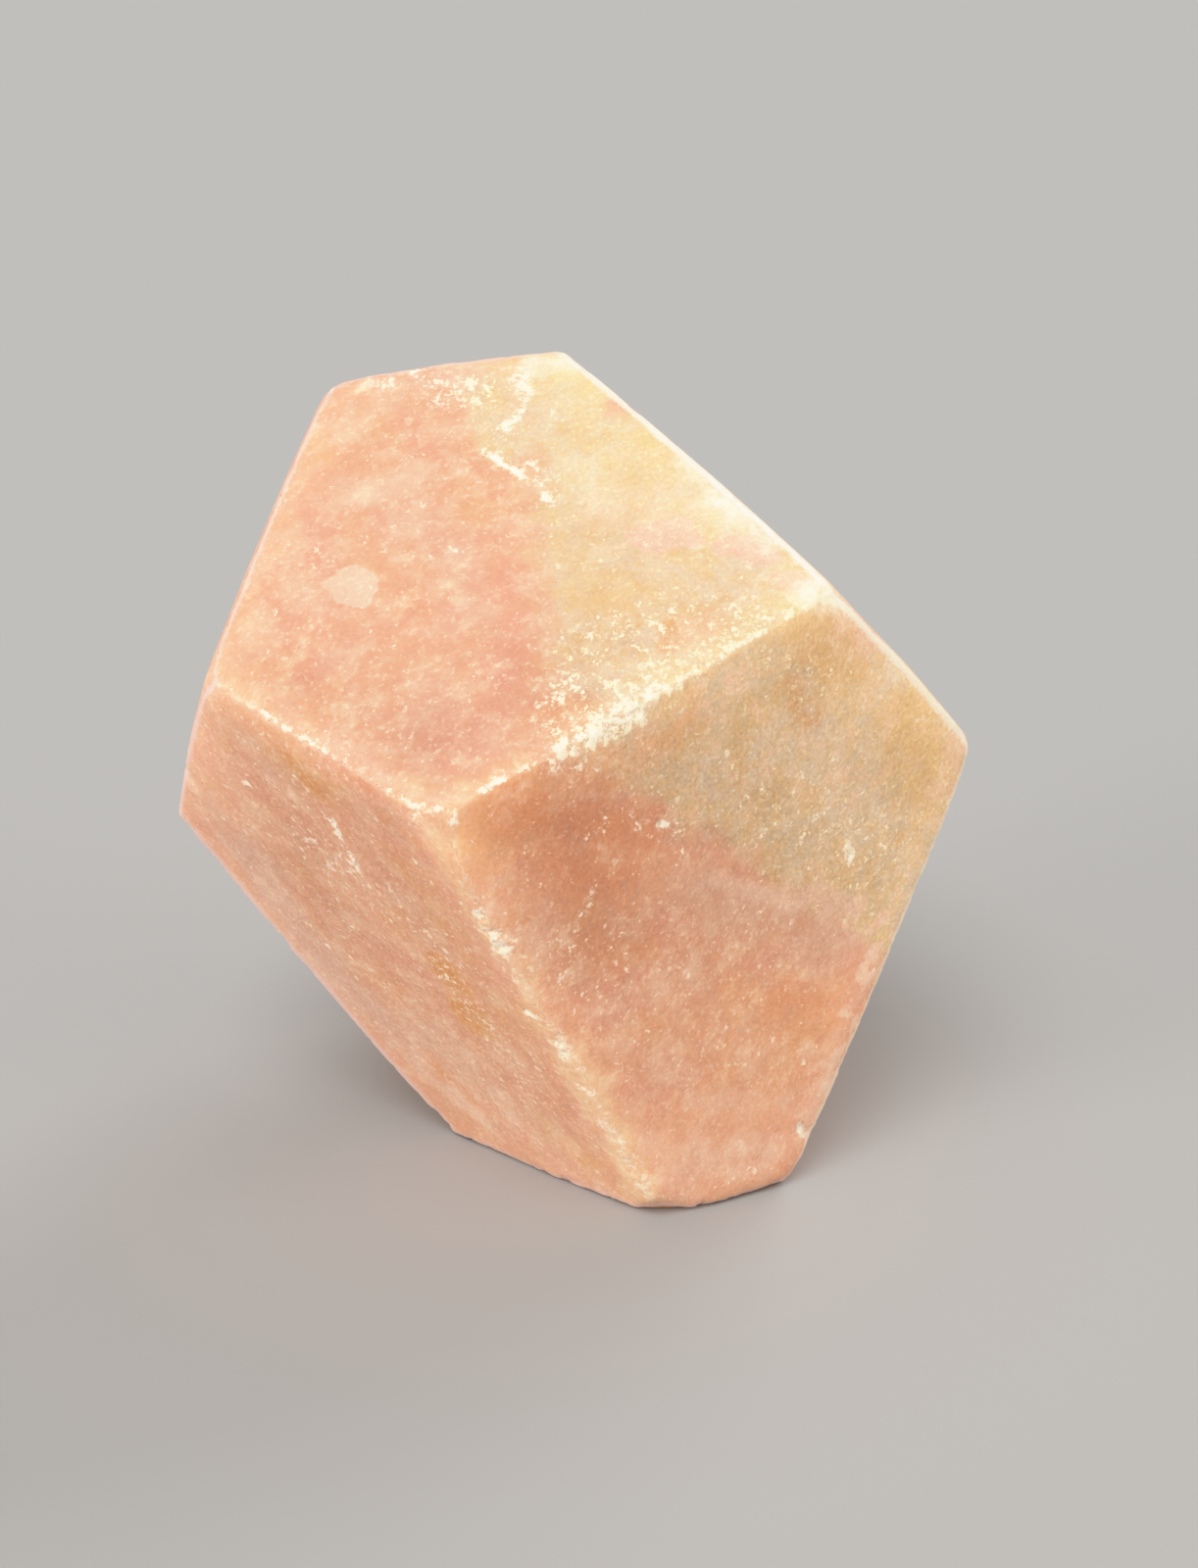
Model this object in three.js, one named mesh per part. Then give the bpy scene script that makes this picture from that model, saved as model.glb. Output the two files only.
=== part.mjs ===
// Opal freeform: one solid stone, lapped to flat facets that meet in softly rounded edges,
// standing on its flat base. Millimetres, +Z up, front of the stone towards -Y, origin at the
// middle of the base.

import * as THREE from 'three';
import { ConvexGeometry } from 'three/addons/geometries/ConvexGeometry.js';

// ---- Driving dimensions ----

// Facets are set out as a stone cutter would, from the heart of the stone: the direction that
// each one faces (bearing from the front, positive to the right, and tilt above the horizon,
// both in degrees) and how far it lies from the heart (mm). The base lies under the heart.
const HEART_HEIGHT = 33;
const FACETS = [
  { name: 'crown', bearing: -2.5, tilt: 49, reach: 22.4 },
  { name: 'right face', bearing: 26.5, tilt: -3.5, reach: 20.4 },
  { name: 'left face', bearing: -39, tilt: -26.5, reach: 21.6 },
  { name: 'front corner', bearing: -7, tilt: -10.5, reach: 25.9 },
  { name: 'right shoulder', bearing: 109, tilt: 43, reach: 23.9 },
  { name: 'left cheek', bearing: -93, tilt: 20, reach: 28.1 },
  { name: 'roof', bearing: -161.5, tilt: 63, reach: 31.7 },
  { name: 'right keel', bearing: 107.5, tilt: -21.5, reach: 25.8 },
  { name: 'left keel', bearing: -114.5, tilt: -32, reach: 24.2 },
  { name: 'back', bearing: 172, tilt: 8, reach: 26 },
  { name: 'back left', bearing: -138, tilt: 12, reach: 25.5 },
  { name: 'back right', bearing: 132, tilt: 4, reach: 25.5 },
  { name: 'back foot', bearing: 178, tilt: -40, reach: 33.2 },
  { name: 'tip', bearing: 0, tilt: -48, reach: 34.2 },
  { name: 'base', bearing: 0, tilt: -90, reach: HEART_HEIGHT },
];

// Radius of the polished edges and corners, and the corners that are softer or crisper.
const ROUNDING = 1.5;
const OTHER_ROUNDINGS = [
  { corner: ['crown', 'left cheek', 'roof'], radius: 3.2 },
  { corner: ['crown', 'right shoulder', 'roof'], radius: 1.8 },
  { corner: ['crown', 'right face', 'right shoulder'], radius: 3 },
  { corner: ['crown', 'left face', 'left cheek'], radius: 3.5 },
  { corner: ['crown', 'left face', 'front corner'], radius: 2 },
  { corner: ['crown', 'right face', 'front corner'], radius: 2 },
  { corner: ['right face', 'left face', 'front corner'], radius: 2 },
  { corner: ['right face', 'right shoulder', 'right keel'], radius: 2 },
  { corner: ['right face', 'right keel', 'base'], radius: 2 },
  { corner: ['right face', 'left face', 'tip'], radius: 1.2 },
  { corner: ['right face', 'tip', 'base'], radius: 1.2 },
  { corner: ['left face', 'tip', 'base'], radius: 1.2 },
  { corner: ['left face', 'left keel', 'base'], radius: 1.3 },
  { corner: ['left face', 'left cheek', 'left keel'], radius: 0.9 },
];
const STEPS_PER_CORNER = 5;

const OPAL = { color: 0xdfa88c, roughness: 0.36, metalness: 0 };

// ---- Facets and corners ----

const SLACK = 1e-6;

// Outward unit vector of a facet.
function facing({ bearing, tilt }) {
  const turn = THREE.MathUtils.degToRad(bearing);
  const rise = THREE.MathUtils.degToRad(tilt);
  return new THREE.Vector3(
    Math.sin(turn) * Math.cos(rise),
    -Math.cos(turn) * Math.cos(rise),
    Math.sin(rise),
  );
}

const facets = FACETS.map((facet) => ({ ...facet, normal: facing(facet) }));

// Point where three facets meet once each is moved inwards by `inset`; null if they never do.
function meetingPoint([a, b, c], inset = 0) {
  const rows = new THREE.Matrix3().set(
    ...a.normal.toArray(),
    ...b.normal.toArray(),
    ...c.normal.toArray(),
  );
  if (Math.abs(rows.determinant()) < SLACK) return null;
  const reaches = new THREE.Vector3(a.reach, b.reach, c.reach).subScalar(inset);
  return reaches.applyMatrix3(rows.invert());
}

function isOnStone(point) {
  return facets.every(({ normal, reach }) => normal.dot(point) < reach + SLACK);
}

// Every set of three facets that meets in a corner of the stone.
function findCorners() {
  const corners = [];
  facets.forEach((a, i) => {
    facets.slice(i + 1).forEach((b, j) => {
      facets.slice(i + j + 2).forEach((c) => {
        const point = meetingPoint([a, b, c]);
        if (point && isOnStone(point)) corners.push([a, b, c]);
      });
    });
  });
  return corners;
}

function roundingOf(corner) {
  const names = corner.map(({ name }) => name);
  const other = OTHER_ROUNDINGS.find((entry) => entry.corner.every((name) => names.includes(name)));
  return other ? other.radius : ROUNDING;
}

// ---- The stone ----

// Points of the ball patch that rounds one corner. The ball touches all three facets, and the
// patch runs between the three points of touch.
function roundedCorner(corner) {
  const radius = roundingOf(corner);
  const centre = meetingPoint(corner, radius);
  const [a, b, c] = corner.map(({ normal }) => normal);
  const points = [];
  for (let i = 0; i <= STEPS_PER_CORNER; i += 1) {
    for (let j = 0; j <= STEPS_PER_CORNER - i; j += 1) {
      const k = STEPS_PER_CORNER - i - j;
      const outwards = new THREE.Vector3();
      outwards.addScaledVector(a, i).addScaledVector(b, j).addScaledVector(c, k);
      points.push(outwards.setLength(radius).add(centre));
    }
  }
  return points;
}

function stoneGeometry() {
  const geometry = new ConvexGeometry(findCorners().flatMap(roundedCorner));
  geometry.computeBoundingBox();
  const middle = geometry.boundingBox.getCenter(new THREE.Vector3());
  geometry.translate(-middle.x, -middle.y, HEART_HEIGHT);
  return geometry;
}

const stone = new THREE.Mesh(stoneGeometry(), new THREE.MeshStandardMaterial(OPAL));
stone.name = 'stone';

const opalFreeform = new THREE.Group();
opalFreeform.add(stone);

export default opalFreeform;
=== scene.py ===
"""Opal freeform: one polished stone with worn facets, crushed ridges and cloudy pink and cream rock."""

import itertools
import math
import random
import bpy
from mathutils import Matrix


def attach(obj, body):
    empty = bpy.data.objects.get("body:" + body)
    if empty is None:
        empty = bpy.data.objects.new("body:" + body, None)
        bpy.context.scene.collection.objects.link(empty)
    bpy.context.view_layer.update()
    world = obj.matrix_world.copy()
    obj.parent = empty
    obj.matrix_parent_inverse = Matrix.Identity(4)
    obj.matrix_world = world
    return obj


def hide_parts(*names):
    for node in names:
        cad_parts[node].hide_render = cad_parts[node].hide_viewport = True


bl_info = {
    "name": "Opal Freeform",
    "version": (1, 0, 0),
    "blender": (4, 5, 0),
    "location": "View3D > Sidebar > Opal",
    "description": "Finishes a faceted opal freeform and sets it on a pale studio floor",
    "category": "Object",
}

import bmesh
import bpy
import numpy as np
from mathutils import Matrix, Vector, noise
from mathutils.bvhtree import BVHTree

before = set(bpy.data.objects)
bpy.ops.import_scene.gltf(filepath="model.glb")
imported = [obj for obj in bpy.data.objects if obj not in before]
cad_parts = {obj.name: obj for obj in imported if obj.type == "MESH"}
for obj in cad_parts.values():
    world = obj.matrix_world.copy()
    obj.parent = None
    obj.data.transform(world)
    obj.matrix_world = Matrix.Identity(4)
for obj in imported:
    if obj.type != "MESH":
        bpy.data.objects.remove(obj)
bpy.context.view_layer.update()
NODE = "stone"
MM = 0.001  # metres in a millimetre


def bearing_and_tilt(bearing, tilt):
    """Unit vector that faces a bearing (0 to the front, 90 to the right) and a tilt, in degrees."""
    turn, rise = math.radians(bearing), math.radians(tilt)
    return Vector((math.sin(turn) * math.cos(rise), -math.cos(turn) * math.cos(rise), math.sin(rise)))


# ---- The stone: facets ----

LEAST_FACET_AREA = 60.0  # mm2, less than any flat facet and more than any strip of a rounded edge
SAME_PLANE = 0.99999  # cosine between the normals of triangles in one facet

# The way each facet faces: bearing from the front and tilt, in degrees.
FACETS = {
    "crown": (-2.5, 49.0),
    "right face": (26.5, -3.5),
    "left face": (-39.0, -26.5),
    "right shoulder": (109.0, 43.0),
    "left cheek": (-93.0, 20.0),
    "roof": (-161.5, 63.0),
    "right keel": (107.5, -21.5),
    "left keel": (-114.5, -32.0),
    "base": (0.0, -90.0),
}

# How facets were lapped: the slope of the grinding scratches, in degrees up to the right as seen
# square-on, how much longer grains are along the scratches than across, and how thickly they lie.
LAPPING = {"crown": (38.0, 1.2, 0.8), "right face": (70.0, 1.2, 1.25), "left face": (-55.0, 1.2, 1.6)}
OTHER_LAPPING = (35.0, 1.25, 1.2)

# Worn bands along ridges, lighter also as a painted highlight where the rounded edges catch the light,
# most along the right-hand edges: the two facets, half the width of the band on each in mm, and its
# strength.
RIDGE_WEAR_AND_SHEEN = {
    ("crown", "right shoulder"): (0.50, 0.60, 1.00),
    ("right face", "right shoulder"): (0.50, 0.60, 1.00),
    ("right face", "right keel"): (0.42, 0.60, 0.90),
    ("crown", "roof"): (0.20, 0.30, 0.35),
    ("crown", "left face"): (0.50, 0.25, 0.28),
    ("crown", "right face"): (0.35, 0.10, 0.24),
    ("left face", "right face"): (0.40, 0.20, 0.30),
}
OTHER_RIDGE_WEAR_AND_SHEEN = (0.30, 0.30, 0.45)
# The same for pinker bands on thin edges, a painted glow standing in for light that shines through the
# thin rock. Where ridges have a worn band of their own there is none, except along the top.
NO_BAND = (0.10, 0.10, 0.00)
RIDGE_PAINTED_EDGE_GLOW = dict.fromkeys(RIDGE_WEAR_AND_SHEEN, NO_BAND) | {
    ("crown", "left cheek"): (0.25, 0.35, 0.60),
    ("crown", "roof"): (0.30, 0.35, 0.55),
    ("left face", "left cheek"): (0.40, 0.35, 0.70),
    ("left face", "left keel"): (1.10, 0.60, 0.80),
    ("left face", "base"): (0.80, 0.40, 0.80),
    ("right face", "base"): (0.40, 0.40, 0.85),
}
OTHER_RIDGE_PAINTED_EDGE_GLOW = (0.45, 0.45, 0.20)

# Ridges that are still sharp: how far the solid's rounding is filled up there, from 0 to 1.
CRISP_RIDGES = {
    ("crown", "right face"): 0.75,
    ("crown", "left face"): 0.5,
    ("crown", "left cheek"): 0.5,
    ("crown", "roof"): 0.5,
    ("crown", "right shoulder"): 0.5,
    ("right face", "right shoulder"): 0.5,
    ("right face", "right keel"): 0.5,
    ("left face", "left keel"): 0.5,
    ("left face", "left cheek"): 0.5,
}

# The cream half of the stone lies beyond one slanting surface through the rock.
CREAM_FACING = bearing_and_tilt(62.0, 35.5)
CREAM_START = 34.2  # mm from the middle of the base
ZONE_WANDER = 2.6  # mm that the surface wanders either way
ZONE_SOFT = 1.4  # mm, half the blurred width in the left of the stone
ZONE_SHARP = 0.9  # the same in the right
SHARP_FROM = (9.0, 17.0)  # mm to the right, where the one turns into the other

# ---- The stone: marks ----

SPAN_SOFT = 0.5  # mm over which the ends of a stretch of crushed stone fade out, either way
# Crushed stone along ridges. For the facet that it lies on and the facet across the ridge: where each
# stretch starts and ends (0 at the left end of the ridge, 1 at the right), half its width in mm and
# its density.
CRUSHED_RIDGES = {
    ("crown", "right face"): (
        (0.11, 0.18, 0.60, 0.85),
        (0.19, 0.28, 0.45, 0.50),
        (0.28, 0.39, 0.90, 0.76),
        (0.38, 0.57, 1.50, 0.66),
        (0.56, 0.74, 0.60, 0.62),
        (0.72, 0.90, 0.60, 0.56),
        (0.90, 1.00, 0.60, 0.65),
        (0.28, 0.60, 3.20, 0.47),
        (0.55, 0.85, 3.00, 0.40),
    ),
    ("right face", "crown"): (
        (0.25, 0.32, 1.40, 0.60),
        (0.31, 0.50, 1.25, 0.86),
        (0.49, 0.60, 0.45, 0.70),
        (0.60, 0.72, 0.30, 0.55),
    ),
    ("crown", "left face"): (
        (0.00, 0.18, 0.40, 0.45),
        (0.20, 0.40, 0.50, 0.80),
        (0.42, 0.54, 0.55, 0.90),
        (0.54, 0.78, 0.35, 0.50),
        (0.78, 0.94, 0.40, 0.70),
    ),
    ("left face", "right face"): ((0.12, 0.60, 0.60, 0.42),),
    ("right face", "left face"): ((0.45, 1.00, 0.60, 0.42),),
}
# Crushed stone and chips elsewhere on the front facets: the places along a path, right and up in mm
# from the middle of the base as seen square-on from the front, then half its width in mm and its
# density.
CRUSHED_SPOTS = (
    ((-6.2, 59.6), (-4.5, 58.5), (-2.2, 57.5), 0.4, 0.86),
    ((-2.8, 58.9), (-0.9, 58), 0.35, 0.66),
    ((-1.8, 57), (-1.3, 56.4), 0.45, 0.75),
    ((-3.5, 65), (-3.5, 63.7), 0.8, 0.65),
    ((-3.1, 63.6), (-3.3, 62.6), (-4, 61.7), (-5.2, 60.9), 0.3, 0.78),
    ((-5.3, 60.9), (-4.7, 60.9), 0.55, 0.72),
    ((-15.5, 63.8), (-14, 64), 0.6, 0.56),
    ((-12.3, 64.5), (-11.2, 64.7), 0.28, 0.9),
    ((-10.5, 63.8), (-7, 63.6), 1.5, 0.44),
    ((-10.1, 63), (-9.4, 62.9), 0.35, 0.8),
    ((-11.6, 62.6), (-8, 62.9), 0.8, 0.4),
    ((-9, 53.7), (-8.3, 53.6), 0.3, 0.75),
    ((-1, 45), (0.4, 46), 1.2, 0.42),
    ((1.5, 48.5), (9, 50), 1.6, 0.31),
    ((0.2, 41), (0.9, 40.8), 0.3, 0.6),
    ((-11, 39.1), (-9.5, 38.9), (-7.9, 38.9), 0.2, 0.75),
    ((-7.8, 38.9), (-7.9, 37.2), 0.25, 0.7),
    ((-10.9, 38.7), (-10.5, 37.3), 0.2, 0.55),
    ((-24.2, 36.7), (-23.9, 36.6), 0.35, 0.85),
    ((-17.2, 35.4), (-16.7, 34.1), 0.45, 0.75),
    ((-16.1, 32.3), (-15.7, 31.2), 0.45, 0.8),
    ((-18.2, 30.7), (-17.9, 30), 0.35, 0.8),
    ((-11.1, 34.1), (-10.7, 33.6), 0.28, 0.7),
    ((-9.8, 21.5), (-9.5, 21.4), 0.35, 0.65),
    ((-6.4, 30.7), (-6.1, 30.2), 0.55, 0.85),
    ((-5.6, 28.6), (-4.5, 27.3), 0.95, 0.75),
    ((-3, 20.9), (-2.3, 20.8), 0.4, 0.85),
    ((-0.6, 18.3), (-0.1, 16.5), 0.5, 0.8),
    ((1, 14), (2, 13.5), 0.5, 0.55),
    ((2.3, 11), (4.1, 8), (6, 3), 0.6, 0.48),
    ((2, 31.2), (1.5, 30.3), (0.9, 28.9), (0.4, 27.8), 0.22, 0.55),
    ((6.8, 35.2), (7.7, 35.2), 0.38, 0.88),
    ((2, 36.4), (4.5, 36.6), (8.5, 34.6), 1.1, 0.26),
    ((8.5, 32.5), (8.8, 32.3), 0.32, 0.75),
    ((21.7, 30.2), (21.9, 29.1), 0.5, 0.75),
    ((14, 46.6), (20, 44.5), 1.5, 0.2),
    ((17, 34), (25, 30), 3, 0.22),
    ((18.9, 5.7), (19.3, 4.9), 0.45, 0.9),
    ((17.6, 51.2), (19.4, 51), 0.9, 0.6),
    ((5, 2.2), (15, 2.6), 0.6, 0.4),
    ((-10.5, 26), (-7.5, 19.5), (-4, 13), 1.6, 0.27),
    ((-19, 32), (-13, 28), 2.2, 0.25),
    ((-1, 25), (4, 22), 2.5, 0.14),
)
# Nicks in edges: path, half width in mm and how deep as a share of the deepest.
NICKS = (
    ((-12.3, 64.3), (-12, 64.4), 0.5, 1),
    ((19, 5.5), (19.3, 4.9), 0.6, 0.8),
    ((-29.5, 35.5), (-29.2, 34.8), 0.6, 0.6),
)
# Tints, written in the same way: path, half width in mm and strength.
TINTS = {
    "blush": (
        ((5.5, 54.5), (8.5, 54.5), 1.2, 1.1),
        ((12, 54), (15, 53.5), 1.3, 1),
        ((16, 52), (18.5, 51.5), 1, 0.5),
    ),
    "ember": (
        ((-4, 38), (-1, 37.5), (5, 34.5), 2.4, 0.7),
        ((-1, 33.5), (4.5, 31.5), 2.7, 0.65),
        ((1.5, 27), (4.5, 25), 2.2, 0.5),
        ((8, 32.5), (13.5, 30.5), 2, 0.3),
        ((17, 18), (20.5, 16.5), 2, 0.5),
        ((-1, 44), (1, 44), 1, 0.4),
    ),
    # painted glow: lighter streaks along ridges, for light that shines through the thin rock there
    "glow": (
        ((-9, 36), (-7.5, 32.5), (-6, 29), 1.1, 0.55),
        ((-6, 29), (-3.5, 26), (-2.5, 21.5), 1, 0.6),
        ((-2.5, 21.5), (-0.5, 17), 1, 0.6),
        ((-0.5, 17), (2, 12.5), (4.5, 6), (5.5, 2.2), 1.35, 0.95),
        ((1.5, 15.5), (4.5, 9), 1.1, 0.5),
        ((-11, 40.2), (-7.3, 39.9), 1.25, 0.5),
    ),
    "chalk": (
        ((15.8, 53.6), (15.5, 53), (14.5, 52), 0.3, 0.6),
        ((9.8, 53.9), (9, 53.8), 0.3, 0.4),
        ((18, 51.2), (19.4, 51), 1, 0.55),
        ((9, 58.5), (12, 56.5), (15.5, 54), 1.2, 0.5),
        ((-16, 63.6), (-14, 63.9), 0.5, 0.3),
        ((-3, 65.3), (0, 65.2), 0.8, 0.5),
    ),
    "rust": (
        ((7.5, 48.5), (8, 49.5), 0.8, 0.45),
        ((16.5, 45), (17.5, 42.5), (18.5, 41), 1.3, 0.45),
        ((-9.3, 22.7), (-8.6, 21.7), 1.6, 1.2),
        ((-7.5, 18.4), (-7, 17.4), 1.6, 1.3),
        ((-1.5, 5.5), (1.5, 4.5), 1.6, 0.6),
        ((-19.5, 40), (-18, 38.5), 1.3, 0.7),
        ((-13, 34), (-12, 32), 1, 0.4),
    ),
    "amber": (
        ((-6, 37), (-2.5, 39), 3.2, 0.9),
        ((-1, 40), (3, 40), 2, 0.5),
        ((-1, 43.9), (1.6, 44.9), 1.5, 0.8),
        ((-23.5, 46), (-19, 45), 2.6, 0.4),
        ((-11, 33), (-8, 26.5), (-4.5, 19), 1.8, 0.55),
        ((-21, 41), (-17, 38.5), 1.8, 0.7),
        ((12.5, 19), (19.5, 16), 3.6, 0.5),
        ((3, 41.5), (9, 43), 1.8, 0.6),
    ),
    "ochre": (
        ((18.5, 49), (20.5, 45.5), 2.6, 1),
        ((26, 40), (29, 35), 2.8, 0.95),
        ((6, 60.5), (8.5, 59), 1.6, 0.7),
        ((0.5, 64.8), (1.5, 64), 1.5, 0.6),
        ((1.5, 51), (6, 51.5), 2, 0.5),
        ((24.5, 30), (23.5, 24.5), 2, 0.4),
        ((-1.5, 7), (1.5, 5), 2.2, 0.5),
    ),
    "lilac": (
        # painted reflection of the bright surroundings, low on the left face
        ((-25.5, 28.5), (-20, 18), (-14.5, 12), 3, 0.7),
        ((10, 29.5), (16, 25.5), (21, 22), 2.6, 0.6),
        ((-11.5, 64.2), (-7, 64.5), 1.3, 0.7),
        ((-13, 56.5), (-8.5, 53), (-7, 50), 2.8, 0.45),
        ((-29, 34.7), (-26.5, 30.5), 2, 0.4),
    ),
    "rose": (
        ((-20, 56.5), (-18.5, 53.5), 1.4, 0.8),
        ((-18, 54), (-18, 52.5), 0.6, 0.7),
        ((-12, 61), (-10, 59.5), 1.3, 0.8),
        ((-4, 52), (-4, 49), (-4.5, 46.5), 1.75, 0.8),
        ((-21, 58.5), (-18.5, 57), 1.1, 0.5),
        ((8, 48.5), (10.5, 49.5), 1.2, 0.4),
    ),
    # pale, in the mist colour: pale clouds in the rock, and painted light in the rows near the foot of
    # both front faces (up to about 13 mm high), which lift the shade near the floor
    "pale": (
        ((-15.5, 56.5), (-13.5, 57.5), (-11, 58.5), 1.1, 0.8),
        ((-17, 53.5), (-18, 51.5), 0.8, 0.3),
        ((21, 10.5), (19, 5), 1.1, 0.6),
        ((8.5, 5), (15.5, 4.5), 2, 0.6),
        ((-13.5, 10), (-10.5, 6.5), (-6.5, 4), 1.5, 0.7),
        ((11.5, 29.5), (17.5, 27), (22.5, 25), 0.9, 1.1),
        ((-11, 13), (-6.5, 9), (-1.5, 5.5), 3.2, 0.6),
        ((9.1, 22.9), (10.7, 21.3), 0.7, 0.6),
        ((3, 56), (8.5, 57.5), 2.6, 0.5),
    ),
    "blotch": (
        ((-16.6, 51.8), (-15.6, 51.4), 1.2, 1),
        ((-18, 51.5), (-17, 51.9), (-16.5, 52.6), 0.6, 1),
        ((-16.4, 50.9), (-15.3, 50.6), 0.6, 1),
        ((-15.6, 52.4), (-14.9, 51.8), 0.3, 0.9),
        ((24.3, 23), (23.5, 19), (22.3, 14), (20.8, 9.5), 1.2, 0.5),
    ),
}

# Soft spots of lighter (above 0) or darker colour: path, half width in mm and change. Some are the rock's
# own tone; many are painted light and shade: the lower crown is made darker, the feet and the left edge of
# the left face lighter, and the front corner gets a painted glow.
TONE_AND_PAINTED_LIGHT = (
    ((-0.5, 64), (1.5, 63), 3, 0.08),
    ((-20, 59), (-19, 61.5), 3, 0.05),
    ((2, 58), (12, 56), 2.6, 0.1),
    ((18.5, 51.3), (19.5, 50.8), 2.2, 0.1),
    # painted shade: these two rows make the lower crown darker
    ((-20, 45), (-16, 43.5), (-11.5, 42), 3.2, -0.13),
    ((-9.5, 42.5), (-2.5, 43.5), (-1, 46.5), 3.5, -0.12),
    ((4.5, 49.5), (10.5, 50), 3.2, -0.07),
    ((-7, 46), (-12.5, 46.5), 3.5, -0.05),
    ((-0.5, 45.5), (3, 44.5), 1.8, -0.1),
    ((-5, 37), (-1, 37.5), 2.8, -0.05),
    ((0, 35), (2.5, 26.5), 3.2, -0.12),
    ((-3.5, 28.5), (-1, 26.5), 2, -0.06),
    ((19.5, 36.5), (23.5, 31.5), 2.8, 0.07),
    # painted light: the foot of the right face made lighter against the shade near the floor
    ((8, 6.5), (16, 7.5), 3.6, 0.11),
    ((22.5, 22), (21.5, 14.5), 1.8, 0.08),
    ((24.5, 43.5), (28.5, 38.5), 2.4, 0.07),
    ((16.5, 44.5), (18, 42), 1.4, -0.04),
    ((20.5, 43.5), (21.5, 42), 1.6, 0.09),
    # painted light: the left edge of the left face made lighter
    ((-27, 39.5), (-26.5, 30.5), 2.8, 0.09),
    ((-24.5, 28.5), (-20.5, 28.5), (-18, 25), 2.2, -0.08),
    # painted light: the foot of the left face made lighter against the shade near the floor
    ((-12.5, 9.5), (-8.5, 5.5), (1, 5), 2.6, 0.09),
    ((-21, 38), (-19, 32), 2.2, -0.05),
    ((-13, 32), (-11, 28.5), 2.2, -0.06),
    ((5, 27), (10, 25), 3, -0.06),
    ((6, 38.5), (20, 33), 5, -0.1),
    ((19, 48.5), (20, 46), 2.5, -0.05),
    ((-23.5, 24), (-16, 13.5), 2.6, 0.03),
    # painted glow: these two rows lighten the front corner
    ((-8, 35.8), (-6.5, 36.3), 1.8, 0.12),
    ((-10.5, 37.2), (-9.5, 35.8), 1, 0.12),
)

# Cream rock reaches past its surface along this path, by up to CREAM_PUSH mm.
CREAM_EXTRA = (((-7.5, 64), (-6.5, 62), (-5.5, 60.5), 2, 1),)
CREAM_PUSH = 4.0

# How ragged the outlines of marks are: length in mm of the waves, how far they go, and their seed.
SPOT_RAGGED = (1.0, 0.35, 11)
TINT_RAGGED = (3.0, 0.9, 21)

# Marks on the sides and the back are drawn at random: how many of a kind, and the least and most
# of their length and half width in mm and of their strength.
SEED = 11
HEART = 33.0  # mm, height of the point that they are thrown out from
SCATTERED_TINTS = {
    "rust": (9, (0.5, 3.0), (0.8, 1.8), (0.6, 0.9)),
    "pale": (12, (2.0, 8.0), (1.0, 2.6), (0.5, 0.8)),
    "rose": (10, (1.0, 5.0), (1.0, 2.4), (0.6, 0.9)),
    "lilac": (6, (3.0, 10.0), (1.6, 3.0), (0.5, 0.7)),
    "amber": (9, (2.0, 8.0), (1.5, 3.0), (0.5, 0.9)),
    "blotch": (5, (0.5, 1.5), (0.5, 1.2), (0.8, 1.0)),
}
SCATTERED_CRUSHED = (26, (0.3, 2.0), (0.3, 0.7), (0.55, 0.85))
SCATTERED_FLECKS = (10, (1.0, 4.0), (0.8, 1.8), (0.34, 0.46))
# The same for stretches along each ridge there: their number, start and length as shares of the
# ridge, half width in mm and density.
SCATTERED_STRETCHES = ((2, 4), (0.0, 0.9), (0.05, 0.30), (0.35, 0.90), (0.50, 0.85))

# ---- The stone: skin ----

FAR = 200.0  # mm, well outside the stone
TINY = 1e-9  # keeps divisions safe
LEVEL_FACET = 1e-3  # sine of the tilt below which a facet counts as level
REFINE_BAND = 1.0  # mm from a ridge within which cells are halved
REFINE_CRUSH = (0.1, 0.35)  # densities of crushed stone above which cells are halved once, and twice
SHADE_FALL = 0.69  # makes a soft spot half as strong at its half width
# Noise: how far each seed shifts it, in lumps, and how rough its octaves are and how much finer each is.
NOISE_SHIFT = (17.3, 5.9, 11.1)
NOISE_OCTAVES = (0.8, 2.0)
# Noise that shapes each kind of wear: size of its lumps in mm, seed and octaves.
WAVE_NOISE = (9.0, 1)
WEAR_NOISE = (1.8, 2, 3)
CRUMBLE_NOISE = (0.7, 3, 2)
FOOT_NOISE = (1.3, 4, 3)
FOOT_SPARED = 0.05  # how much of that noise leaves the foot whole
CRUMBLE_EXTRA = 0.2  # how much deeper than that noise crushed stone is
# Where each kind of wear fades in or out.
CRISP_CORNER = (0.8, 3.5)  # mm from a corner, where ridges become crisp
BOW_CORNER = (0.0, 12.0)  # mm from a corner, where the bow grows
WEAR_RIDGE = (0.2, 1.6)  # mm from a ridge, where nibbles die away
FOOT_HEIGHT = (0.5, 3.0)  # mm above the floor, where chips die away
CRUMBLE_DENSITY = (0.3, 0.9)  # densities of crushed stone between which its pits grow


# ---- Settings ----


def length_property(name, description, default):
    return bpy.props.FloatProperty(name=name, description=description, default=default, unit="LENGTH")


def colour_property(name, description, default):
    return bpy.props.FloatVectorProperty(
        name=name, description=description, default=default, size=3, subtype="COLOR", min=0.0, max=1.0
    )


class OpalShapeSettings(bpy.types.PropertyGroup):
    """Sizes of the surface of the stone."""

    cell: length_property("Cell", "Side of a surface cell on the facets", 0.00055)
    bow: length_property("Bow", "How far ridges swell between corners", 0.0002)
    wave: length_property("Wave", "Height of the slow waves left by hand lapping", 0.00008)
    wear: length_property("Wear", "Depth of the nibbles along the ridges", 0.00016)
    foot_wear: length_property("Foot Wear", "Depth of the chips round the edge it stands on", 0.0004)
    nick: length_property("Nick", "Depth of the deepest nick in an edge", 0.0004)
    crumble: length_property("Crumble", "Depth of the pits in crushed stone", 0.00028)


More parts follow.
